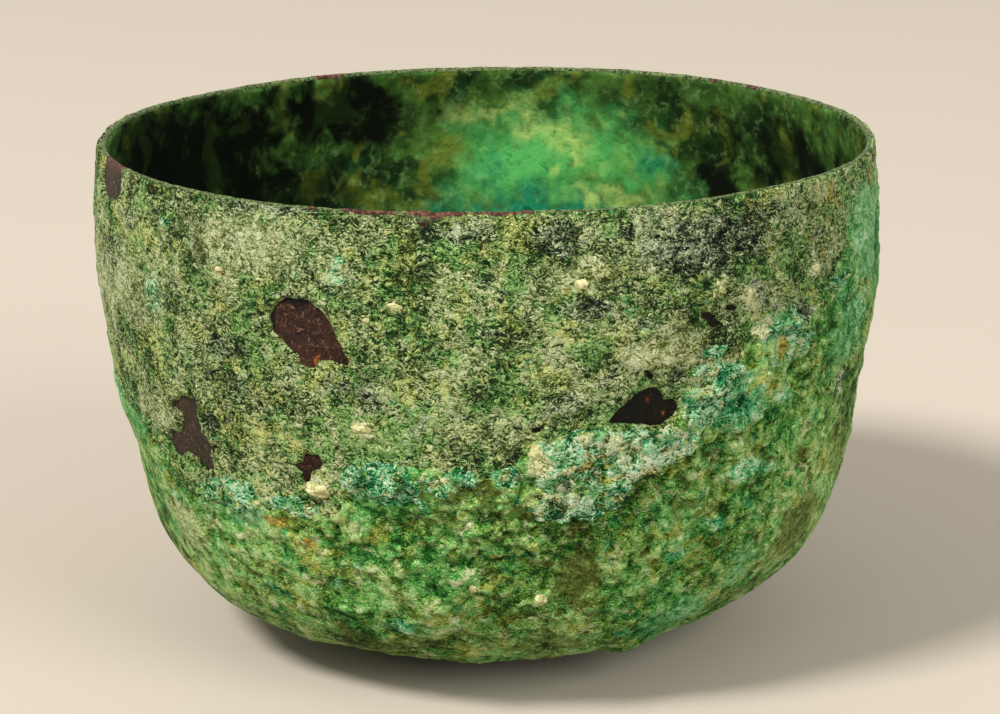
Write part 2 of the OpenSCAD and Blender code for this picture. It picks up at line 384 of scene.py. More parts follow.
OCHRE = [
    (-31.5, 38.6, 3, 1.3, 0.9), (-26.7, 35.6, 2, 1.2, 0.9), (43.5, 69, 1.3, 2.4, 1), (49, 87, 1.2, 1.6, 0.7),
    (55.5, 94, 2.4, 3.4, 0.6), (42, 62.3, 1.6, 1, 0.7), (2, 35, 2.4, 1.4, 0.6), (-11.5, 35, 2, 2.4, 0.45),
    (25.5, 31, 1.6, 4.5, 0.5), (-38, 85, 2, 0.7, 0.6), (10.2, 84.2, 1, 0.7, 0.7), (52, 84, 1.8, 0.8, 0.6),
    (22, 41, 2, 3, 0.4), (-57, 83, 6, 3, 0.35), (13, 52.4, 0.8, 0.8, 0.6), (9.3, 49.6, 0.7, 0.6, 0.8),
    (46, 52, 3, 2, 0.35), (30, 55, 3, 1, 0.3), (-12, 73, 5, 3, 0.3), (5, 75, 6, 4, 0.25), (65, 75, 3, 2, 0.4),
    (72, 93, 5, 2.4, 0.6), (52, 91, 2, 2, 0.5), (-170, 50, 5, 3, 0.6), (115, 72, 4, 3, 0.5),
]
# Dark blots: mostly dark patina; those in the plate's holes and the black crescent above the large oval are painted
# shade in the hollows.
DARK_PATINA_AND_SHADE = [
    (30, 90, 16, 6, 0.8), (22, 93, 9, 4, 0.6), (40, 94, 7, 3, 0.6), (13, 81, 6, 2.4, 0.75),
    (9.5, 93, 5, 3.5, 0.7), (-4, 94.5, 9, 2.6, 0.65), (48.5, 74.6, 2.6, 1.6, 0.95), (38, 81.3, 1.6, 2, 0.9),
    (40, 79, 1.6, 1.8, 0.8), (42.5, 76.5, 2, 1, 0.7), (-46, 89, 8, 3, 0.45), (-60, 90, 6, 2.4, 0.6),
    (-42, 86, 4, 2, 0.5), (-48, 66, 7, 5, 0.45), (-65, 65, 6, 3, 0.5), (-37, 71, 5, 3, 0.6),
    (-35, 62, 8, 6, 0.55), (10, 65, 4, 3, 0.6), (-6, 64, 6, 3, 0.25), (21, 78, 6, 1.6, 0.5),
    (27, 70, 3, 3, 0.4), (17, 70, 5, 4, 0.35), (-40, 65, 1.6, 0.7, 0.8), (-30.5, 60.5, 0.9, 0.9, 0.9),
    (-28.6, 57, 0.9, 0.7, 0.8), (-31, 97.5, 14, 1.2, 0.7), (-25, 88, 4, 2, 0.35), (10.4, 48.9, 1, 1.2, 1),
    (10.6, 46, 0.5, 1, 1), (21, 46.3, 1, 0.5, 0.9), (24, 27, 0.8, 1.6, 0.5), (62, 57, 3, 3.4, 0.8),
    (58, 52, 2, 3, 0.5), (-5, 20, 1, 3, 0.6), (19, 30, 0.8, 6, 0.6), (0, 43, 5, 0.8, 0.5),
    (-55, 84.6, 1, 0.7, 0.7), (3, 84, 3, 3, 0.3), (25, 79, 2, 1, 0.5), (-27, 81.8, 2.4, 0.7, 1),
    (120, 85, 14, 6, 0.6), (-120, 80, 16, 7, 0.6), (175, 90, 14, 5, 0.6),
]
OLIVE = [
    (14, 30.5, 4.6, 6.5, 0.9), (57, 30, 9, 8, 0.8), (52, 26, 5, 5, 0.6), (61, 33, 5, 3, 0.7),
    (45, 43, 4, 2, 0.5), (2, 39, 6, 3, 0.5), (-5, 15, 12, 4, 0.5), (10, 14, 12, 5, 0.6), (-20, 12, 16, 4, 0.7),
    (50, 16, 12, 4, 0.6), (-75, 18, 20, 8, 0.6), (68, 45, 14, 10, 0.5), (-25, 16, 6, 2, 0.6),
    (74, 84, 6, 5, 0.3), (62, 52, 5, 3, 0.5), (18, 65, 5, 3, 0.4), (-48, 42, 5, 2, 0.4), (-4, 48.5, 8, 3, 0.8),
    (130, 20, 24, 10, 0.6), (-130, 20, 20, 10, 0.6),
]
PALE = [
    (-35, 90, 15, 8, 0.8), (-60, 76, 13, 7, 1), (-55, 54, 7.5, 4.5, 1), (24, 72, 8.5, 5.5, 1),
    (2, 74, 12, 6, 0.35), (-55, 32, 9, 7, 0.75), (-15, 88, 10, 5, 0.25), (38, 79, 5, 5, 0.6),
    (47, 86, 9, 6, 0.4), (-38, 94, 14, 4, 0.5), (12, 87, 7, 4, 0.9), (-3, 70, 12, 5, 0.4),
    (-45, 80, 8, 5, 0.25), (-73, 74, 12, 10, 0.75), (-20, 63, 9, 4, 0.25), (-68, 84, 10, 6, 0.5),
    (5, 86, 7, 4, 0.3), (150, 88, 18, 8, 0.5), (-100, 75, 20, 12, 0.5),
]
# Bare or thinly filmed metal near the rim
BARE = [
    (-68.5, 95, 7, 4.6, 1), (-53, 96, 1.2, 1, 0.8), (-8, 98.2, 22, 0.9, 1), (-32, 98.4, 3, 0.5, 0.7),
    (4, 98.4, 8, 0.7, 0.9), (-51, 98.6, 3, 0.8, 0.8), (34, 98.6, 3, 0.4, 0.6), (-24, 98.2, 4, 0.6, 0.8),
    (48, 98.7, 3, 0.4, 0.5), (135, 98.2, 10, 0.8, 0.8), (-150, 98.2, 12, 0.7, 0.8),
]


# Colours on the metal in the windows
# Black on the metal: partly blackened metal, partly painted shadow in the gaps under the skin's edge, such as the
# crescent at the top of the large oval.
DARK_METAL_AND_SHADOW = [
    (21.5, 61.5, 8, 6, 1), (-26.2, 82, 4.2, 1.5, 1), (-30, 78.4, 1.4, 3, 1), (31, 77, 3, 3, 0.6),
    (34.3, 78, 2, 1.4, 0.6), (-25.3, 46.5, 1.4, 2.4, 0.8), (22, 68, 2, 2, 0.7), (6.6, 59.6, 2, 1.4, 0.6),
]
ASH = [(-48, 52, 9, 9, 1), (-68.5, 95, 6, 6, 0.8), (-8, 97, 3, 3, 0.3)]
RUST = [
    (-23.4, 70.6, 1, 1, 0.9), (-24.5, 69.6, 0.8, 0.5, 0.8), (22.4, 62.3, 0.5, 0.5, 0.9),
    (24.4, 60.3, 0.6, 0.5, 0.8), (31, 76.6, 0.8, 1.2, 0.9), (18.4, 60.5, 0.4, 0.4, 0.7), (-43.5, 50, 1, 2, 0.3),
]


def colour_masks(wall):
    """Every colour region as values from 0 to 1, to be read by the materials."""
    blot = wall.spots
    return {
        "teal": blot(TEAL), "sea": blot(SEA_SPOTS, 2.5, 0.8), "lime": blot(LIME, 0.8), "ochre": blot(OCHRE, 1),
        "dark_patina_and_shade": blot(DARK_PATINA_AND_SHADE, 1.2, 0.6), "olive": blot(OLIVE, 2.5, 0.7), "pale": blot(PALE, 2.5, 0.8),
        "bare": blot(BARE, 0.6, 0.35),
    }


# ---- Meshes ----


def mesh_object(name, points, faces, masks):
    """A smooth-shaded mesh from points in mm and faces as an array of 4 corners (a repeated last corner makes a
    triangle), with one value a point for each mask."""
    points = np.reshape(points, (-1, 3))
    used = np.zeros(len(points), bool)
    used[faces.ravel()] = True
    new = np.cumsum(used) - 1
    corners = [f[:3] if f[2] == f[3] else f for f in new[faces].tolist()]
    mesh = bpy.data.meshes.new(name)
    mesh.from_pydata((points[used] * MM).tolist(), [], corners)
    mesh.validate()
    mesh.shade_smooth()
    for key, values in masks.items():
        layer = mesh.attributes.new(key, "FLOAT", "POINT")
        layer.data.foreach_set("value", np.asarray(values, float).ravel()[used].astype(np.float32))
    obj = bpy.data.objects.new(name, mesh)
    bpy.context.scene.collection.objects.link(obj)
    return obj


def thin(obj):
    """Collapses the flattest detail until the mesh has at most MOST_FACES triangles."""
    faces = sum(len(p.vertices) - 2 for p in obj.data.polygons)
    if faces <= MOST_FACES:
        return
    modifier = obj.modifiers.new("thin", "DECIMATE")
    modifier.ratio = MOST_FACES / faces
    depsgraph = bpy.context.evaluated_depsgraph_get()
    mesh = bpy.data.meshes.new_from_object(obj.evaluated_get(depsgraph), depsgraph=depsgraph)
    obj.modifiers.clear()
    obj.data = mesh
    mesh.shade_smooth()


def closed(grid):
    """A grid whose first column is repeated as its last."""
    return np.hstack([grid, grid[:, :1]])


def quads(grid):
    """The four corners of each cell of a grid of point numbers."""
    return np.stack([grid[:-1, :-1], grid[:-1, 1:], grid[1:, 1:], grid[1:, :-1]], -1)


def slab(name, outer, inner, keep, closed_round, masks):
    """A closed skin between two grids of points (rows, columns, 3), without the cells that keep drops."""
    rows, columns = outer.shape[:2]
    index = np.arange(rows * columns).reshape(rows, columns)
    front_faces = quads(closed(index) if closed_round else index)[keep]
    back = rows * columns
    back_faces = front_faces[:, ::-1] + back
    # A side wall stands on each edge that only one kept cell has
    ends = np.concatenate([front_faces[:, [k, (k + 1) % 4]] for k in range(4)])
    key = np.sort(ends, axis=1)
    code = key[:, 0].astype(np.int64) * (2 * back) + key[:, 1]
    _, where, times = np.unique(code, return_inverse=True, return_counts=True)
    lone = ends[times[where] == 1]
    sides = np.stack([lone[:, 1], lone[:, 0], lone[:, 0] + back, lone[:, 1] + back], 1)
    faces = np.concatenate([front_faces, back_faces, sides])
    values = {k: np.concatenate([np.ravel(v), np.ravel(v)]) for k, v in masks.items()}
    return mesh_object(name, np.concatenate([outer.reshape(-1, 3), inner.reshape(-1, 3)]), faces, values)


def round_angles(front_step, back_step):
    """Angles all the way round, closer together at the front."""
    middle = 0.5 * (front_step + back_step)
    swing = 0.5 * (back_step - front_step)
    count = int(360 / middle)
    t = np.arange(count) / count * 2 * math.pi - math.pi
    return np.degrees(t) - np.degrees(swing / middle * np.sin(t))


def cell_keep(values, closed_round):
    """True for the cells where any corner is kept, less those that meet another cell only at a corner."""
    v = closed(values) if closed_round else values
    keep = v[:-1, :-1] | v[:-1, 1:] | v[1:, 1:] | v[1:, :-1]
    for _ in range(6):
        k = closed(keep) if closed_round else keep
        a, b, c, d = k[:-1, :-1], k[:-1, 1:], k[1:, :-1], k[1:, 1:]
        falling, rising = a & d & ~b & ~c, b & c & ~a & ~d
        columns = a.shape[1]
        keep[:-1, :columns] &= ~falling
        keep[1:, :columns] &= ~rising
    return keep


def without_crumbs(keep, least):
    """Drops the islands that have fewer than least cells."""
    label = np.where(keep, np.arange(1, keep.size + 1).reshape(keep.shape), 0)
    while True:
        p = np.pad(label, 1)
        best = np.max([p[1:-1, 1:-1], p[:-2, 1:-1], p[2:, 1:-1], p[1:-1, :-2], p[1:-1, 2:]], axis=0)
        best = np.where(keep, best, 0)
        if (best == label).all():
            return keep & (np.bincount(label.ravel())[label] >= least)
        label = best


def terraces(points, size, seed):
    """Flaky plates with steep, ragged edges, from -1 to 1."""
    return np.tanh(5 * fractal(points, size, seed, 4, 0.6))


def patina_relief(wall, masks):
    """How far the skin stands out of its plain outline, and its fine relief from -1 in pits to 1 on tips."""
    at = wall.at
    lumps = 0.16 * fractal(at, 10, 3, 3) + 0.12 * fractal(at, 4.0, 17, 2) + 0.1 * terraces(at, 4.5, 71)
    grain = 1.1 * (0.62 - grains(at, 1.3, 29)[0]) + 0.5 * fractal(at, 1.0, 41, 2)
    pits = smooth(0.3, 0.8, fractal(at, 2.4, 57, 3) + 0.45 * masks["dark_patina_and_shade"] - 0.2 * masks["pale"])
    fine = np.clip(grain - 1.1 * pits, -1, 1)
    rough = 0.2 - 0.07 * masks["pale"] + 0.05 * masks["dark_patina_and_shade"]
    return lumps + rough * fine + 0.35 * masks["lime"], fine


def crust_relief(wall, masks):
    """The same for the crust, which is livelier in the middle of the front and calmer at its sides."""
    at = wall.at
    knobs = 0.7 - grains(at, 3.6, 229)[0]
    fine = np.clip(0.62 - grains(at, 1.5, 239)[0] + 0.7 * fractal(at, 1.5, 241, 3) + 0.8 * knobs, -1, 1)
    lively = 0.3 + 0.7 * smooth(24, 42, wall.z) * smooth(-62, -30, wall.az) + 0.4 * masks["teal"]
    lively = lively + 0.35 * np.exp(-((wall.az - 10) / 30) ** 2)
    lively = lively * (1 - 0.6 * smooth(45, 68, np.abs(wall.az)))
    cracks = smooth(0.14, 0.0, np.abs(fractal(at, 8.0, 251, 3)))
    rise = 0.45 * fractal(at, 17, 203, 3) + 0.34 * fractal(at, 6.5, 211, 3) * (0.5 + 0.5 * lively)
    steps = 0.3 * terraces(at, 8.0, 271) + 0.22 * terraces(at, 3.4, 281)
    rise += steps * lively
    rise += (0.75 * knobs + 0.3 * fine - 0.35 * cracks) * lively + hills(wall.az, wall.z, CRUST_RELIEF)
    rise += 0.3 * masks["lime"]
    return rise, np.clip(fine + 0.8 * steps - 0.7 * cracks, -1, 1)


def patina_rise(wall, masks):
    """The skin's outside, dropping below the metal in the windows and away from the rim's edge."""
    rise, fine = patina_relief(wall, masks)
    window = wall.window_distance()
    rise = np.maximum(rise, -PATINA_T + 0.12) - 0.12 * smooth(1.0, 0.0, window)
    rise = rise * smooth(-0.3, 0.3, window) - (PATINA_T + 0.45) * smooth(0.12, -0.5, window)
    rise -= (PATINA_T + 0.3) * smooth(0.3, 0.8, masks["bare"])
    return rise - 0.3 * smooth(HEIGHT - 1.0, HEIGHT, wall.z), fine


def crust_rise(wall, masks):
    """The crust's outside, with a soft shoulder at its upper edge that drops under the skin beyond it."""
    rise, fine = crust_relief(wall, masks)
    window, edge = wall.window_distance(), wall.crust_distance()
    rise = np.maximum(rise, 0.2 - cover(wall.s)) + 0.4 * smooth(-8, -2.5, edge)
    rise = rise * smooth(-0.2, -2.2, edge) - 1.3 * smooth(-1.8, 0.2, edge)
    rise = rise * smooth(-0.3, 0.3, window) - (CRUST_T + 0.4) * smooth(0.12, -0.5, window)
    return rise * smooth(REST_R - 1, REST_R + 14, wall.s), fine


def outer_patina():
    """The granular skin on the upper wall, open at the flaked windows."""
    az = round_angles(0.27 * FINE, 0.5 * FINE)[None, :]
    u = np.linspace(0, 1, int(150 / FINE))[:, None]
    low = length_at(crust_edge(az) - SKIN_PAST_LINE)
    high = WHOLE_S - SKIN_SHORT_OF_EDGE
    wall = Wall(az, low + (high - low) * u)
    masks = colour_masks(wall)
    rise, masks["relief"] = patina_rise(wall, masks)
    back = wall.under(cover(wall.s) + TUCK)
    keep = cell_keep(wall.window_distance() > -WINDOW_LIP, True)
    return slab("skin_outside", wall.under(-rise), back, keep, True, masks)


# Low reliefs on the crust: (angle, height, half width, half height, rise)
CRUST_RELIEF = [
    (-8.6, 22, 3.4, 4.6, 1.1), (-24, 25, 3, 2.4, -0.5), (-27.5, 24, 1.1, 4, 0.8), (-22.5, 21.5, 4.5, 1, 0.9),
    (14, 30.5, 5.4, 7, -1), (20.5, 31, 1.1, 7, 0.5), (31, 9, 6, 3.5, 1.6), (3, 17, 4, 2.4, 0.7),
    (45, 66, 9, 8, 0.5), (-13, 19, 5, 1.4, 0.6), (57, 31, 9, 8, -0.6), (34, 60, 8, 7, 0.5),
    (-38, 41, 8, 3, 0.5), (41, 28, 4, 2, 0.5), (26, 33, 1.8, 6, 0.6), (-5, 47, 10, 3, 0.5),
    (-15, 48, 7, 4, 0.6), (24, 24, 6, 8, 0.4), (-50, 30, 8, 3, 0.5), (0, 34, 7, 4, -0.4), (38, 45, 8, 4, 0.5),
    (-32, 30, 8, 3, 0.2), (10, 39.6, 6, 1.4, -0.7), (31, 44, 3, 6, 0.5), (-18, 37, 9, 2, 0.4),
    (-2, 41, 6, 1.6, 0.4), (8, 25, 2, 1.4, 0.6), (33, 27, 3, 3, -0.4), (-14, 30, 4, 3, 0.5),
    (170, 50, 20, 10, 0.8), (-150, 25, 16, 7, 0.7), (120, 55, 14, 8, 0.6), (-105, 35, 16, 6, 0.6),
]


def lower_crust():
    """The lumpy burial crust on the lower wall and under the base."""
    az = round_angles(0.32 * FINE, 0.55 * FINE)[None, :]
    u = np.linspace(0, 1, int(230 / FINE))[:, None] ** 0.85
    high = length_at(crust_edge(az) + CRUST_PAST_LINE)
    wall = Wall(az, MIDDLE_HOLE + (high - MIDDLE_HOLE) * u)
    edge = wall.crust_distance()
    masks = colour_masks(wall)
    rise, masks["relief"] = crust_rise(wall, masks)
    back = wall.under(cover(wall.s) + np.where(edge > -1.5, 0.3, 0.2))
    keep = cell_keep((wall.window_distance() > -WINDOW_LIP) & (edge < 1.6), True)
    outer = wall.under(-rise)
    bottom = np.interp(wall.s, LINE_S, LINE_NZ) < -0.5
    outer[..., 2] = np.where(bottom, np.maximum(outer[..., 2], 0), outer[..., 2])
    obj = slab("burial_crust", outer, back, keep, True, masks)
    close_rings(obj)
    return obj


def close_rings(obj):
    """Closes the small hole that a grid round the axis leaves in the middle."""
    bm = bmesh.new()
    bm.from_mesh(obj.data)
    middle = {v for v in bm.verts if math.hypot(v.co.x, v.co.y) < 0.6 * MM}
    walls = [f for f in bm.faces if middle.issuperset(f.verts)]
    bmesh.ops.delete(bm, geom=walls, context="FACES_ONLY")
    bmesh.ops.holes_fill(bm, edges=[e for e in bm.edges if e.is_boundary], sides=0)
    bm.to_mesh(obj.data)
    bm.free()
    obj.data.shade_smooth()


def whole_wall(columns, rows, below_edge):
    """A grid all the way round, from near the middle of the base to just below the rim's edge."""
    az = (np.arange(columns) / columns * 360 - 180)[None, :]
    u = np.linspace(0, 1, rows)[:, None]
    s = MIDDLE_HOLE + (WHOLE_S - below_edge - MIDDLE_HOLE) * u
    return Wall(az, s)


def copper_sheet():
    """The raised sheet, with its hammer facets, its rounded edge and the pitting that shows in the windows."""
    columns = int(620 / FINE)
    wall = whole_wall(columns, int(190 / FINE), 0.5)
    at = wall.at
    first, second = grains(at, 9.0, 307)
    facets = -0.12 * smooth(0.5, 0.0, second - first)
    fibres = 0.09 * fractal(at * np.array([1, 1, 0.35]), 1.6, 311, 3)
    pits = -0.12 * smooth(0.45, 0.8, fractal(at, 1.9, 317, 3))
    rise = facets + 0.5 * fibres + pits
    rise = rise * smooth(HEIGHT + 0.5, HEIGHT - 2.5, wall.z)
    masks = {
        "bare": wall.spots(BARE, 0.6, 0.35), "dark_metal_and_shadow": wall.spots(DARK_METAL_AND_SHADOW, 0.8, 0.4), "ash": wall.spots(ASH, 1.0, 0.5),
        "rust": wall.spots(RUST, 0.8, 0.6),
    }
    outer = wall.under(cover(wall.s) - rise)
    inner = wall.under(cover(wall.s) + SHEET_T)
    # The edge: four rings that round it over
    nick = 0.16 * fractal(at[-1:], 2.2, 331, 3)
    middle, half = (outer[-1:] + inner[-1:]) / 2, (outer[-1:] - inner[-1:]) / 2
    up = np.zeros_like(middle)
    up[..., 2] = SHEET_T / 2 + nick
    turns = [math.radians(turn) for turn in (30, 75, 115, 155)]
    rings = [middle + half * math.cos(t) + up * math.sin(t) for t in turns]
    strip = np.concatenate([outer] + rings + [inner[::-1]])
    count = strip.shape[0]
    faces = quads(closed(np.arange(count * columns).reshape(count, columns))).reshape(-1, 4)
    values = {k: np.concatenate([v] + [v[-1:]] * len(rings) + [v[::-1]]) for k, v in masks.items()}
    edge = smooth(HEIGHT - 2.2, HEIGHT - 0.6, wall.z)
    values["edge"] = np.concatenate([edge, np.ones((len(rings), columns)), edge[::-1]])
    obj = mesh_object("copper_sheet", strip, faces, values)
    close_rings(obj)
    return obj


def inner_patina():
    """The skin on the inside."""
    wall = whole_wall(int(560 / FINE), int(150 / FINE), 0.7)
    at = wall.at
    rise = 0.3 * fractal(at, 14, 401, 3) + 0.14 * fractal(at, 5, 407, 2) + 0.06 * (0.7 - grains(at, 2.6, 409)[0])
    rise = np.maximum(rise * smooth(HEIGHT, HEIGHT - 4, wall.z), -LINING_T + 0.15)
    face = wall.under(cover(wall.s) + SHEET_T + LINING_T + rise)
    back = wall.under(cover(wall.s) + SHEET_T - 0.2)
    keep = np.ones((wall.z.shape[0] - 1, wall.z.shape[1]), bool)
    obj = slab("skin_inside", back, face, keep, True, inside_masks(wall))
    close_rings(obj)
    return obj


# Blots on the inside: (angle, height, half width mm, half height mm, strength)
# Bright blots at the back of the inside: green patina, partly a painted pool of light where the light falls in.
INSIDE_LIT_AND_BRIGHT = [
    (168, 78, 20, 11, 0.75), (162, 68, 18, 7, 0.4), (162, 84, 9, 6, 0.45), (-178, 84, 10, 6, 0.45),
    (178, 66, 18, 8, 0.2), (148, 64, 12, 8, 0.5), (153, 76, 9, 6, 0.6),
]
INSIDE_TEAL = [
    (172, 63, 22, 8, 1), (-174, 66, 12, 6, 0.5), (161, 62, 14, 6, 0.7), (178, 76, 8, 4, 0.5),
    (150, 78, 7, 5, 0.6), (-160, 64, 12, 6, 0.35), (168, 86, 8, 3, 0.4),
]
INSIDE_YELLOW = [
    (176, 88, 16, 3, 0.6), (158, 70, 14, 3, 0.7), (165, 78, 12, 3, 0.6), (-162, 88, 14, 3, 0.3),
    (-176, 80, 9, 3, 0.4), (168, 83, 10, 5, 0.75), (140, 88, 16, 3, 0.4), (152, 64, 10, 3, 0.6),
]
# Dark blots on the inside: painted shade where the left of the inside falls in shadow, and darker patina on the
# right.
INSIDE_SHADE_AND_DARK_PATINA = [
    (-115, 82, 34, 22, 1), (-138, 88, 16, 7, 0.9), (-95, 60, 40, 30, 1), (138, 76, 6, 8, 0.9),
    (126, 84, 14, 6, 0.6), (112, 76, 16, 9, 0.8), (-140, 72, 24, 14, 0.8), (120, 66, 18, 9, 0.8),
    (120, 84, 26, 10, 0.75), (-150, 80, 12, 8, 0.5), (-150, 90, 24, 8, 1), (-158, 88, 20, 7, 0.8),
    (170, 57, 28, 8, 0.75),
]


def inside_masks(wall):
    return {
        "bright": wall.spots(INSIDE_LIT_AND_BRIGHT, 4, 0.95), "teal": wall.spots(INSIDE_TEAL, 4, 0.95),
        "ochre": wall.spots(INSIDE_YELLOW, 4, 0.95), "dark_patina_and_shade": wall.spots(INSIDE_SHADE_AND_DARK_PATINA, 5, 0.9),
    }


def patch_grid(az_from, az_to, z_from, z_to, step):
    """A grid on part of the wall."""
    columns = int(math.radians(az_to - az_from) * WALL_MIDDLE_R / (step * FINE))
    rows = int((z_to - z_from) / (step * FINE))
    az = np.linspace(az_from, az_to, columns)[None, :]
    s = np.linspace(length_at(z_from), length_at(z_to), rows)[:, None]
    return Wall(az, s)


def wall_surface(wall, masks):
    """The outside of whichever of skin and crust stands further out."""
    return np.maximum(patina_rise(wall, masks)[0], crust_rise(wall, masks)[0])


# The smallest patch of ledge that is kept, in cells of its grid
SMALLEST_PATCH = 40


def mineral_ledge():
    """The blue-green crystals along the crust's upper edge."""
    wall = patch_grid(-50, 76, 37, 82, 0.42)
    at = wall.at
    masks = colour_masks(wall)
    fine = np.clip(1.2 * (0.6 - grains(at, 1.6, 503)[0]) + 0.6 * fractal(at, 1.6, 509, 3), -1, 1)
    near = smooth(-10, -4, wall.crust_distance()) * smooth(8, 2, wall.crust_distance())
    body = 1.3 * masks["teal"] * near - 0.62 + 0.4 * fractal(at, 4.0, 521, 3) + 0.25 * fine
    plate = signed_distance(*wall.warped(0.7), PLATE)
    base = wall_surface(wall, masks)
    rise = np.minimum(0.9 * body, 0.55) + 0.12 * fine
    rise -= 3 * smooth(0.6, -0.8, plate) + 3 * smooth(0.7, -0.2, wall.window_distance())
    masks["relief"] = fine
    keep = without_crumbs(cell_keep(rise > -0.12, False), SMALLEST_PATCH)
    outer = wall.under(-(rise + base))
    return slab("teal_ledge", outer, wall.under(0.5), keep, False, masks)


# Holes in the plate: (angle, height, half width, half height, depth)
PLATE_HOLES = [
    (10.4, 48.9, 1, 1.2, 1.5), (10.6, 46, 0.5, 1, 0.8), (21, 46.4, 1.1, 0.5, 0.8), (16.5, 52.4, 0.7, 0.9, 0.9),
]


def mineral_plate():
    """The raised plate of pale and blue-green mineral, with its steep lower edge."""
    wall = patch_grid(2, 33, 38, 62, 0.3)
    at = wall.at
    masks = colour_masks(wall)
    inside = -signed_distance(*wall.warped(1.0), PLATE)
    fine = np.clip(1.2 * (0.6 - grains(at, 1.8, 601)[0]) + 0.7 * fractal(at, 1.8, 607, 3), -1, 1)
    hollow = smooth(0.25, 0.7, fractal(at, 3.2, 631, 2))
    rise = 1.25 + 0.3 * fine + 0.4 * fractal(at, 6, 613, 2) - 0.7 * hollow
    rise -= hills(wall.az, wall.z, PLATE_HOLES)
    rise = rise * smooth(-0.1, 0.7, inside) - 0.9 * smooth(0.3, -0.4, inside)
    rise -= 2 * smooth(0.5, -0.3, wall.window_distance())
    masks["relief"] = np.clip(fine - 0.8 * hollow, -1, 1)
    keep = cell_keep(rise > -0.6, False)
    return slab("pale_plate", wall.under(-rise), wall.under(0.8), keep, False, masks)


# Lime nodules: (angle, height, half width, half height, rise)
NODULES = [
    (6.6, 54.3, 1.7, 2.3, 1.3), (-24.2, 46.3, 2.5, 1.4, 0.9), (-16.8, 59, 1.7, 0.9, 0.6),
    (-12, 81.6, 1.4, 0.8, 0.5), (-15.7, 79, 0.7, 0.6, 0.4), (15.2, 87.2, 1.9, 1, 0.4),
    (12.2, 85.3, 1.2, 0.9, 0.35), (32, 82.3, 1, 1.4, 0.4), (37, 80, 0.9, 1.9, 0.4), (39.2, 72.8, 1.3, 0.9, 0.7),
    (50.3, 82, 1.2, 0.8, 0.5), (8.2, 26, 1.2, 0.9, 0.9), (-2, 28.6, 0.8, 0.9, 0.6), (23, 50.6, 1.8, 0.9, 1),
    (-38, 85.1, 1, 0.4, 0.3), (40, 28.5, 1.6, 0.8, 0.4),
]


def lime_nodules():
    """Cream lumps stuck on the wall, each a closed lump of its own."""
    points, faces = [], []
    rows, columns = 22, 40
    count = 0
    for n, (az0, z0, wide, tall, rise) in enumerate(NODULES):
        theta = np.linspace(0, math.pi, rows)[1:-1, None]
        phi = (np.arange(columns) / columns * 2 * math.pi)[None, :]
        ball = np.stack(np.broadcast_arrays(
            np.sin(theta) * np.cos(phi), np.sin(theta) * np.sin(phi), np.cos(theta)), -1)
        poles = np.array([[0, 0, 1.0], [0, 0, -1.0]])
        shape = np.concatenate([ball.reshape(-1, 3), poles])
        lump = 1 + 0.28 * fractal(shape * 1.6 + 20 * n, 1.2, 701, 3)
        lump = lump + 0.1 * fractal(shape * 4 + 20 * n, 1.0, 709, 2)
        shape = shape * lump[:, None] * np.array([wide, tall, rise])
        az = az0 + np.degrees(shape[:, 0] / WALL_MIDDLE_R)
        s = length_at(z0) + shape[:, 1]
        points.append(place(az, s, -(shape[:, 2] + 0.1 * rise)))
        grid = closed(np.arange((rows - 2) * columns).reshape(rows - 2, columns))
        sides = quads(grid)[..., [0, 3, 2, 1]].reshape(-1, 4)
        top, bottom = (rows - 2) * columns, (rows - 2) * columns + 1
        caps = [np.stack([grid[0, :-1], grid[0, 1:], np.full(columns, top), np.full(columns, top)], 1),
                np.stack([grid[-1, 1:], grid[-1, :-1], np.full(columns, bottom), np.full(columns, bottom)], 1)]
        faces.append(np.concatenate([sides] + caps) + count)
        count += len(shape)
    return mesh_object("cream_nodules", np.concatenate(points), np.concatenate(faces), {})


# ---- Materials ----


def srgb(r, g, b):
    """A colour given as 0 to 255, as linear light."""
    def linear(v):
        v /= 255
        return v / 12.92 if v <= 0.04045 else ((v + 0.055) / 1.055) ** 2.4
    return (linear(r), linear(g), linear(b), 1.0)


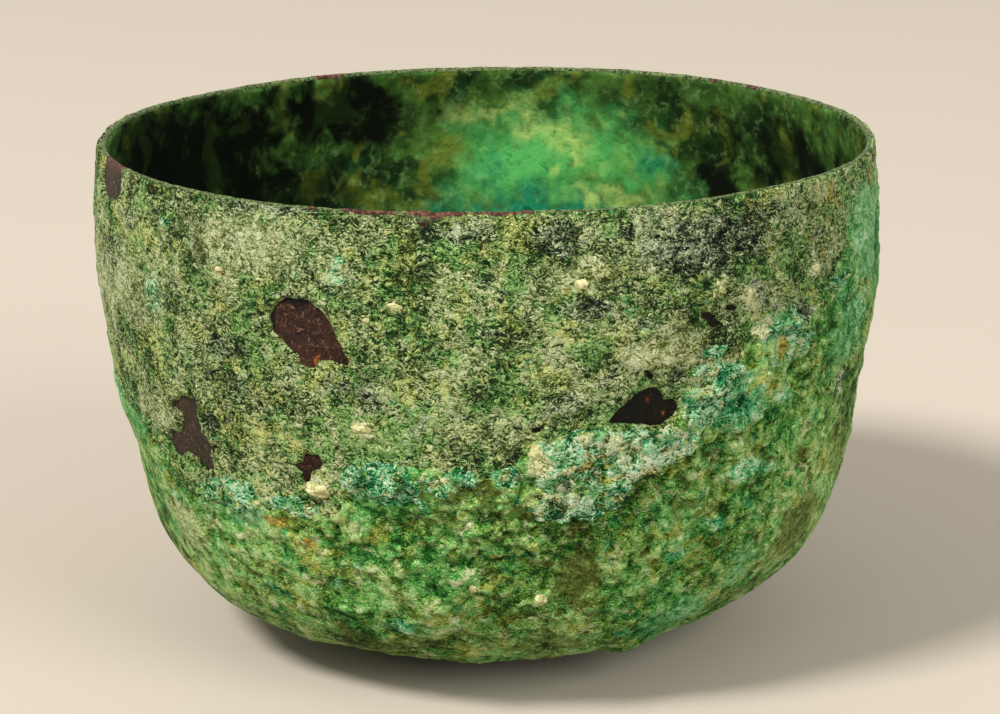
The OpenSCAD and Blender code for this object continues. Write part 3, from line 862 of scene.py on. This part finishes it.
class Graph:
    """A material's nodes, with coordinates in millimetres."""

    def __init__(self, name):
        self.material = bpy.data.materials.new(name)
        self.material.use_nodes = True
        self.nodes = self.material.node_tree.nodes
        self.links = self.material.node_tree.links
        self.shader = self.nodes["Principled BSDF"]
        where = self.node("TexCoord", {}, "Object")
        self.mm = self.node("VectorMath", {0: where, "Scale": 1 / MM}, operation="SCALE")

    def put(self, socket, value):
        """Links a socket, or sets a plain value."""
        if isinstance(value, bpy.types.NodeSocket):
            self.links.new(value, socket)
        elif value is not None:
            socket.default_value = value

    def node(self, kind, inputs, output=0, **settings):
        """Adds a node with its settings and inputs, and gives back one of its outputs."""
        node = self.nodes.new("ShaderNode" + kind)
        for key, value in settings.items():
            setattr(node, key, value)
        for key, value in inputs.items():
            self.put(node.inputs[key], value)
        return node.outputs[output]

    def noise(self, size, detail=2.0, rough=0.5, twist=0.0, at=None):
        inputs = {"Vector": at or self.mm, "Scale": 1 / size, "Detail": detail, "Roughness": rough}
        return self.node("TexNoise", inputs | {"Distortion": twist}, "Fac")

    def cells(self, size, at):
        return self.node("TexVoronoi", {"Vector": at, "Scale": 1 / size}, "Distance")

    def math(self, kind, a, b=None, c=None):
        return self.node("Math", {0: a, 1: b, 2: c}, operation=kind)

    def vector(self, kind, a, b, c=None):
        return self.node("VectorMath", {0: a, 1: b, 2: c}, operation=kind)

    def step(self, value, low, high, out_low=0.0, out_high=1.0):
        """A smooth step from out_low to out_high as value goes from low to high."""
        inputs = {"Value": value, "From Min": low, "From Max": high, "To Min": out_low, "To Max": out_high}
        return self.node("MapRange", inputs, "Result", interpolation_type="SMOOTHSTEP")

    def mix(self, amount, a, b):
        return self.node("Mix", {"Factor": amount, "A": a, "B": b}, "Result", data_type="RGBA")

    def coats(self, colour, *coats):
        """A colour under coats of other colours, each coat a (where, how much of it, colour)."""
        for where, share, paint in coats:
            colour = self.mix(where if share == 1 else self.math("MULTIPLY", where, share), colour, paint)
        return colour

    def mask(self, name):
        return self.node("Attribute", {}, "Fac", attribute_name=name)

    def ragged(self, name, grain, low=0.35, high=0.65, spread=0.7):
        """A mask whose soft edge is broken up by a fine pattern."""
        moved = self.math("MULTIPLY_ADD", self.math("SUBTRACT", grain, 0.5), spread, self.mask(name))
        return self.step(moved, low, high)

    def bump(self, height, distance, strength=1.0):
        return self.node("Bump", {"Distance": distance * MM, "Strength": strength, "Height": height}, "Normal")

    def finish(self, colour, roughness, normal, specular, metallic=0.0):
        inputs = {
            "Base Color": colour, "Roughness": roughness, "Normal": normal, "Specular IOR Level": specular,
            "Metallic": metallic,
        }
        for key, value in inputs.items():
            self.put(self.shader.inputs[key], value)
        return self.material


# Colours in threes: in the crevices, on the broad surface and on the tips. The crevice colours are partly the
# patina's darker colour in its hollows and partly painted shade.
SKIN = (srgb(30, 54, 14), srgb(130, 158, 84), srgb(226, 232, 176))
SKIN_LEAF = (srgb(16, 58, 14), srgb(92, 146, 62), srgb(180, 216, 132))
SKIN_YELLOW = (srgb(44, 60, 8), srgb(146, 166, 74), srgb(228, 234, 150))
SKIN_PALE = (srgb(108, 126, 62), srgb(190, 204, 138), srgb(238, 242, 196))
# Dark patina colours, also painted as shade into the plate's holes and the gap above the large oval.
SKIN_DARK_AND_SHADE_COLOURS = (srgb(8, 20, 8), srgb(94, 116, 72), srgb(216, 228, 184))
CRUST = (srgb(26, 76, 10), srgb(116, 168, 66), srgb(202, 228, 146))
CRUST_LEAF = (srgb(14, 86, 20), srgb(84, 164, 68), srgb(172, 224, 136))
CRUST_YELLOW = (srgb(54, 72, 6), srgb(132, 156, 50), srgb(208, 220, 118))
SEA = (srgb(24, 108, 40), srgb(98, 176, 100), srgb(166, 220, 154))
TEAL_ROCK = (srgb(0, 88, 42), srgb(84, 196, 122), srgb(222, 252, 208))
PLATE_ROCK = (srgb(6, 104, 52), srgb(150, 222, 154), srgb(240, 252, 220))
CREAM = (srgb(96, 112, 36), srgb(196, 208, 130), srgb(244, 248, 198))
EMERALD = (srgb(2, 72, 30), srgb(22, 132, 72), srgb(90, 188, 122))
OCHRE_ROCK = (srgb(80, 66, 8), srgb(158, 142, 44), srgb(212, 192, 96))
OLIVE_ROCK = (srgb(48, 60, 10), srgb(94, 112, 38), srgb(136, 156, 74))
PAINTED_PIT_SHADE = (0.0, 0.0, 0.0, 1.0)


class Rock:
    """Crevice, surface and tip colours, painted over by masks and then read off by a height; the darker low colours
    are partly painted shade.
    """

    def __init__(self, g, colours):
        self.g = g
        self.stops = list(colours)

    def over(self, amount, colours):
        self.stops = [self.g.mix(amount, a, b) for a, b in zip(self.stops, colours)]

    def colour(self, height, low, middle, high):
        g = self.g
        shade = g.mix(g.step(height, low, middle), self.stops[0], self.stops[1])
        shade = g.mix(g.step(height, middle, high), shade, self.stops[2])
        # Painted shade: the deepest pits go part of the way to black.
        return g.mix(g.step(height, low, low - 0.2, 0.0, 0.6), shade, PAINTED_PIT_SHADE)


def fine_height(g, coarse, grain, grit, granules, relief, tone):
    """A height about 0.5 that goes on finer than the mesh. The shares are of noise of the coarse size, of grit, of
    granules, of the mesh's own relief and of slow changes of tone. Grain and grit lie in flat, wavy threads."""
    push = g.node("TexNoise", {"Vector": g.mm, "Scale": 0.5, "Detail": 3}, "Color")
    at = g.vector("MULTIPLY_ADD", push, (5, 5, 5), g.vector("MULTIPLY", g.mm, (1, 1, 1.7)))
    height = 0.5
    layers = [
        (g.noise(coarse, 4, 0.75, 0.6, at), 0.5, grain), (g.noise(0.6, 2, 0.85, 0.9, at), 0.5, grit),
        # The mesh's relief darkens the colour in its hollows, partly as painted shade.
        (g.cells(0.7, at), 0.45, -granules), (g.mask("relief"), 0.0, relief),
        (g.noise(17, 3, 0.6), 0.5, tone), (g.noise(6, 3, 0.6), 0.5, 0.7 * tone),
    ]
    for value, middle, share in layers:
        height = g.math("MULTIPLY_ADD", g.math("SUBTRACT", value, middle), share, height)
    return height


def rock_material(name, base, variants, painted, height_shares, depth, stops):
    """A mineral: base colours, noise-led variants (colours, size, from, to) and mask-led paints."""
    g = Graph(name)
    height = fine_height(g, *height_shares)
    patchy = g.noise(2.2, 5, 0.7, 0.3)
    rock = Rock(g, base)
    for k, (colours, patch, start, end) in enumerate(variants):
        elsewhere = g.vector("ADD", g.mm, (37.0 * (k + 1), 11.0, 5.0 * k))
        rock.over(g.step(g.noise(patch, 5, 0.62, 0.4, elsewhere), start, end), colours)
    for mask, colours, start, end, spread in painted:
        rock.over(g.ragged(mask, patchy, start, end, spread), colours)
    return g.finish(rock.colour(height, *stops), g.step(height, 0.35, 0.65, 0.8, 0.55), g.bump(height, depth), 0.14)


# What is painted last on both skin and crust: (mask, colours, from, to, raggedness)
LATE_PAINTS = [
    ("teal", TEAL_ROCK, 0.4, 0.75, 1.2), ("ochre", OCHRE_ROCK, 0.4, 0.8, 1.2), ("lime", CREAM, 0.4, 0.75, 1.1),
]


def outer_patina_material():
    """The granular skin: olive green with yellow, leaf green and dark patches; the dark patches also carry painted
    shade in holes and gaps.
    """
    variants = [
        (SKIN_LEAF, 9, 0.48, 0.56), (SKIN_YELLOW, 8, 0.52, 0.6), (SKIN_LEAF, 2.4, 0.54, 0.62),
        (SKIN_YELLOW, 3, 0.56, 0.64), (SKIN_DARK_AND_SHADE_COLOURS, 7, 0.58, 0.68), (EMERALD, 4, 0.62, 0.74),
    ]
    painted = [
        # The dark blots also paint shade into the gap above the large oval.
        ("pale", SKIN_PALE, 0.3, 0.9, 0.9), ("dark_patina_and_shade", SKIN_DARK_AND_SHADE_COLOURS, 0.3, 0.8, 1.1), ("sea", SEA, 0.3, 0.8, 1.0),
        ("olive", OLIVE_ROCK, 0.4, 0.8, 0.8),
    ] + LATE_PAINTS
    shares = (1.5, 1.25, 1.5, 0.6, 0.14, 0.75)
    return rock_material("outer_patina", SKIN, variants, painted, shares, 1.4, (0.29, 0.49, 0.69))


def crust_material():
    """The burial crust: brighter, mossier green."""
    variants = [
        (CRUST_LEAF, 9, 0.48, 0.58), (CRUST_YELLOW, 6, 0.53, 0.62), (CRUST_LEAF, 3, 0.53, 0.62),
        (OLIVE_ROCK, 5, 0.56, 0.65), (EMERALD, 3.4, 0.6, 0.68), (SKIN_PALE, 3, 0.57, 0.66),
    ]
    painted = [
        ("pale", SKIN_PALE, 0.3, 0.9, 0.9), ("sea", SEA, 0.25, 0.8, 1.0), ("olive", OLIVE_ROCK, 0.3, 0.8, 1.0),
        ("dark_patina_and_shade", SKIN_DARK_AND_SHADE_COLOURS, 0.4, 0.8, 1.0),
    ] + LATE_PAINTS
    shares = (2.0, 0.8, 0.9, 0.4, 0.2, 0.5)
    return rock_material("lower_crust", CRUST, variants, painted, shares, 1.5, (0.28, 0.49, 0.73))


def teal_material(name, base, cream_from, stops):
    """Blue-green crystals with cream among them, from where their noise passes cream_from."""
    variants = [
        (SEA, 4, 0.5, 0.56), (CRUST_YELLOW, 3, 0.57, 0.63), (EMERALD, 2.8, 0.55, 0.61),
        (CREAM, 2.2, cream_from, cream_from + 0.05),
    ]
    painted = [
        # The dark blots also paint shade into the plate's holes.
        ("pale", SKIN_PALE, 0.4, 0.9, 0.9), ("dark_patina_and_shade", SKIN_DARK_AND_SHADE_COLOURS, 0.4, 0.8, 1.0),
        ("ochre", OCHRE_ROCK, 0.4, 0.8, 1.2), ("lime", CREAM, 0.4, 0.8, 1.4),
    ]
    return rock_material(name, base, variants, painted, (1.7, 1.3, 1.2, 0.6, 0.22, 0.45), 1.6, stops)


def lining_material():
    """The inside: dark olive and green, with a bright cloud of green, teal and yellow at the back that is partly a
    painted pool of light, and painted shade on its left.
    """
    g = Graph("inner_patina")
    cloud = g.noise(16, 4, 0.6, 0.4)
    blotch = g.noise(7, 4, 0.6, 0.5)
    fine = g.noise(2.2, 4, 0.65, 0.3)
    yellow = g.noise(9, 3, 0.5, 0.6)
    shadow = g.mix(g.step(yellow, 0.5, 0.6), srgb(7, 12, 4), srgb(20, 34, 10))
    colour = g.coats(
        g.mix(g.step(cloud, 0.36, 0.6), srgb(62, 96, 36), srgb(14, 30, 9)),
        (g.step(yellow, 0.54, 0.64), 0.55, srgb(96, 104, 28)),
        # The bright green at the back of the inside is partly a painted pool of light.
        (g.ragged("bright", cloud, 0.1, 0.9, 1.3), 1, srgb(76, 160, 80)),
        (g.ragged("teal", blotch, 0.2, 0.95, 1.2), 1, srgb(22, 112, 76)),
        (g.ragged("ochre", blotch, 0.3, 1.0, 1.2), 1, srgb(160, 184, 96)),
        (g.step(fine, 0.5, 0.75), 0.25, srgb(140, 184, 104)),
        (g.step(fine, 0.5, 0.3), 0.45, srgb(10, 26, 10)),
        # Painted shade: the dark blots on the inside, mostly on its left, take the shadow colour.
        (g.ragged("dark_patina_and_shade", blotch, 0.3, 0.85, 1.2), 1, shadow),
    )
    return g.finish(colour, 0.9, g.bump(fine, 0.6, 0.5), 0.05)


def copper_material():
    """Brown oxidised copper in the windows, with a red-brown lip and a dark green film along the edge."""
    g = Graph("bare_copper")
    blotch = g.noise(4.5, 4, 0.6, 0.5)
    fine = g.noise(0.7, 4, 0.7, 0.4)
    scratch = g.noise(1.1, 6, 0.75, 1.6)
    dark_metal_and_shadow = g.mix(g.step(fine, 0.5, 0.7), srgb(10, 10, 5), srgb(44, 34, 14))
    rust = g.mix(g.step(fine, 0.4, 0.62), srgb(44, 18, 6), srgb(150, 84, 34))
    film = g.mix(g.step(fine, 0.38, 0.6), srgb(34, 48, 24), srgb(108, 124, 76))
    lip = g.mix(g.step(fine, 0.42, 0.66), srgb(54, 32, 24), srgb(124, 86, 70))
    colour = g.coats(
        g.mix(g.step(blotch, 0.35, 0.65), srgb(26, 12, 9), srgb(50, 29, 22)),
        (g.ragged("ash", blotch, 0.3, 0.7, 0.4), 1, srgb(44, 38, 29)),
        (g.step(scratch, 0.53, 0.66), 0.65, srgb(128, 98, 78)),
        (g.step(g.noise(0.35, 2, 0.9), 0.6, 0.7), 0.5, srgb(120, 96, 76)),
        (g.step(fine, 0.45, 0.3), 0.8, srgb(28, 16, 12)),
        # Black metal, with painted shadow under the skin's edges.
        (g.ragged("dark_metal_and_shadow", fine, 0.3, 0.6, 0.6), 1, dark_metal_and_shadow),
        (g.ragged("rust", fine, 0.4, 0.8, 1.6), 1, rust),
        (g.mask("edge"), 1, g.mix(g.ragged("bare", blotch, 0.35, 0.6, 0.7), film, lip)),
    )
    normal = g.bump(g.math("ADD", fine, scratch), 0.35, 0.8)
    return g.finish(colour, g.step(fine, 0.3, 0.7, 0.45, 0.7), normal, 0.12, 0.1)


def lime_material():
    """Cream lime, greener in its pits."""
    g = Graph("lime")
    blotch = g.noise(1.4, 5, 0.65, 0.4)
    fine = g.noise(0.6, 4, 0.7, 0.2)
    cream = g.mix(g.step(blotch, 0.38, 0.62), srgb(150, 150, 92), srgb(206, 200, 150))
    colour = g.coats(cream, (g.step(fine, 0.46, 0.3), 0.8, srgb(104, 112, 58)))
    return g.finish(colour, 0.8, g.bump(g.math("ADD", blotch, fine), 0.4, 0.9), 0.3)


# ---- The pieces, with their bodies and nodes ----


def add_piece(obj, node, material):
    """Puts a piece on the one body in place of its CAD node."""
    thin(obj)
    obj.data.materials.clear()
    obj.data.materials.append(material)
    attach(obj, "root")
    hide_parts(node)


ledge_crystals = teal_material("mineral_ledge", TEAL_ROCK, 0.56, (0.31, 0.47, 0.64))
plate_crystals = teal_material("mineral_plate", PLATE_ROCK, 0.54, (0.265, 0.415, 0.575))
add_piece(copper_sheet(), "copper_shell", copper_material())
add_piece(outer_patina(), "outer_patina", outer_patina_material())
add_piece(inner_patina(), "inner_patina", lining_material())
add_piece(lower_crust(), "lower_crust", crust_material())
add_piece(mineral_ledge(), "mineral_ledge", ledge_crystals)
add_piece(mineral_plate(), "mineral_plate", plate_crystals)
add_piece(lime_nodules(), "lime_nodules", lime_material())


# ---- Floor, light and camera ----


def floor():
    """A plain pale floor, level with the rest face."""
    half = 4.0
    mesh = bpy.data.meshes.new("floor")
    mesh.from_pydata([(-half, -half, 0), (half, -half, 0), (half, half, 0), (-half, half, 0)], [], [(0, 1, 2, 3)])
    obj = bpy.data.objects.new("floor", mesh)
    bpy.context.scene.collection.objects.link(obj)
    g = Graph("floor")
    tone = g.noise(400, 2, 0.5)
    mesh.materials.append(g.finish(g.mix(tone, srgb(178, 168, 154), srgb(176, 166, 152)), 0.9, None, 0.05))


def area_light(name, at, target, size, power, colour):
    data = bpy.data.lights.new(name, "AREA")
    data.shape = "DISK"
    data.size = size
    data.energy = power
    data.color = colour
    obj = bpy.data.objects.new(name, data)
    obj.location = at
    direction = np.array(target) - np.array(at)
    flat = math.hypot(direction[0], direction[1])
    obj.rotation_euler = (math.atan2(flat, -direction[2]), 0, math.atan2(-direction[0], direction[1]))
    bpy.context.scene.collection.objects.link(obj)


def studio():
    """A soft key light from the upper left, a weaker and larger one from the right, and a pale sky."""
    aim = (0, 0, 0.05)
    area_light("key", (-2.4, -2.0, 3.5), aim, 1.1, 290.0, (1.0, 0.985, 0.96))
    area_light("fill", (2.2, -2.2, 1.8), aim, 2.2, 84.0, (0.97, 0.99, 1.0))
    world = bpy.data.worlds.new("studio")
    bpy.context.scene.world = world
    world.use_nodes = True
    background = world.node_tree.nodes["Background"]
    background.inputs["Color"].default_value = srgb(250, 248, 244)
    background.inputs["Strength"].default_value = 0.72
    bpy.context.scene.view_settings.view_transform = "Standard"


def camera():
    """The photograph's view: in front of the bowl, a little above it and looking down."""
    away, up, down = 532.9, 198.0, 15.29
    data = bpy.data.cameras.new("camera")
    data.lens = 100.0
    data.sensor_width = 36.0
    data.shift_x = 0.013
    data.clip_start = 0.01
    obj = bpy.data.objects.new("camera", data)
    obj.location = (0, -away * MM, up * MM)
    obj.rotation_euler = (math.radians(90 - down), 0, 0)
    bpy.context.scene.collection.objects.link(obj)
    bpy.context.scene.camera = obj


floor()
studio()
camera()
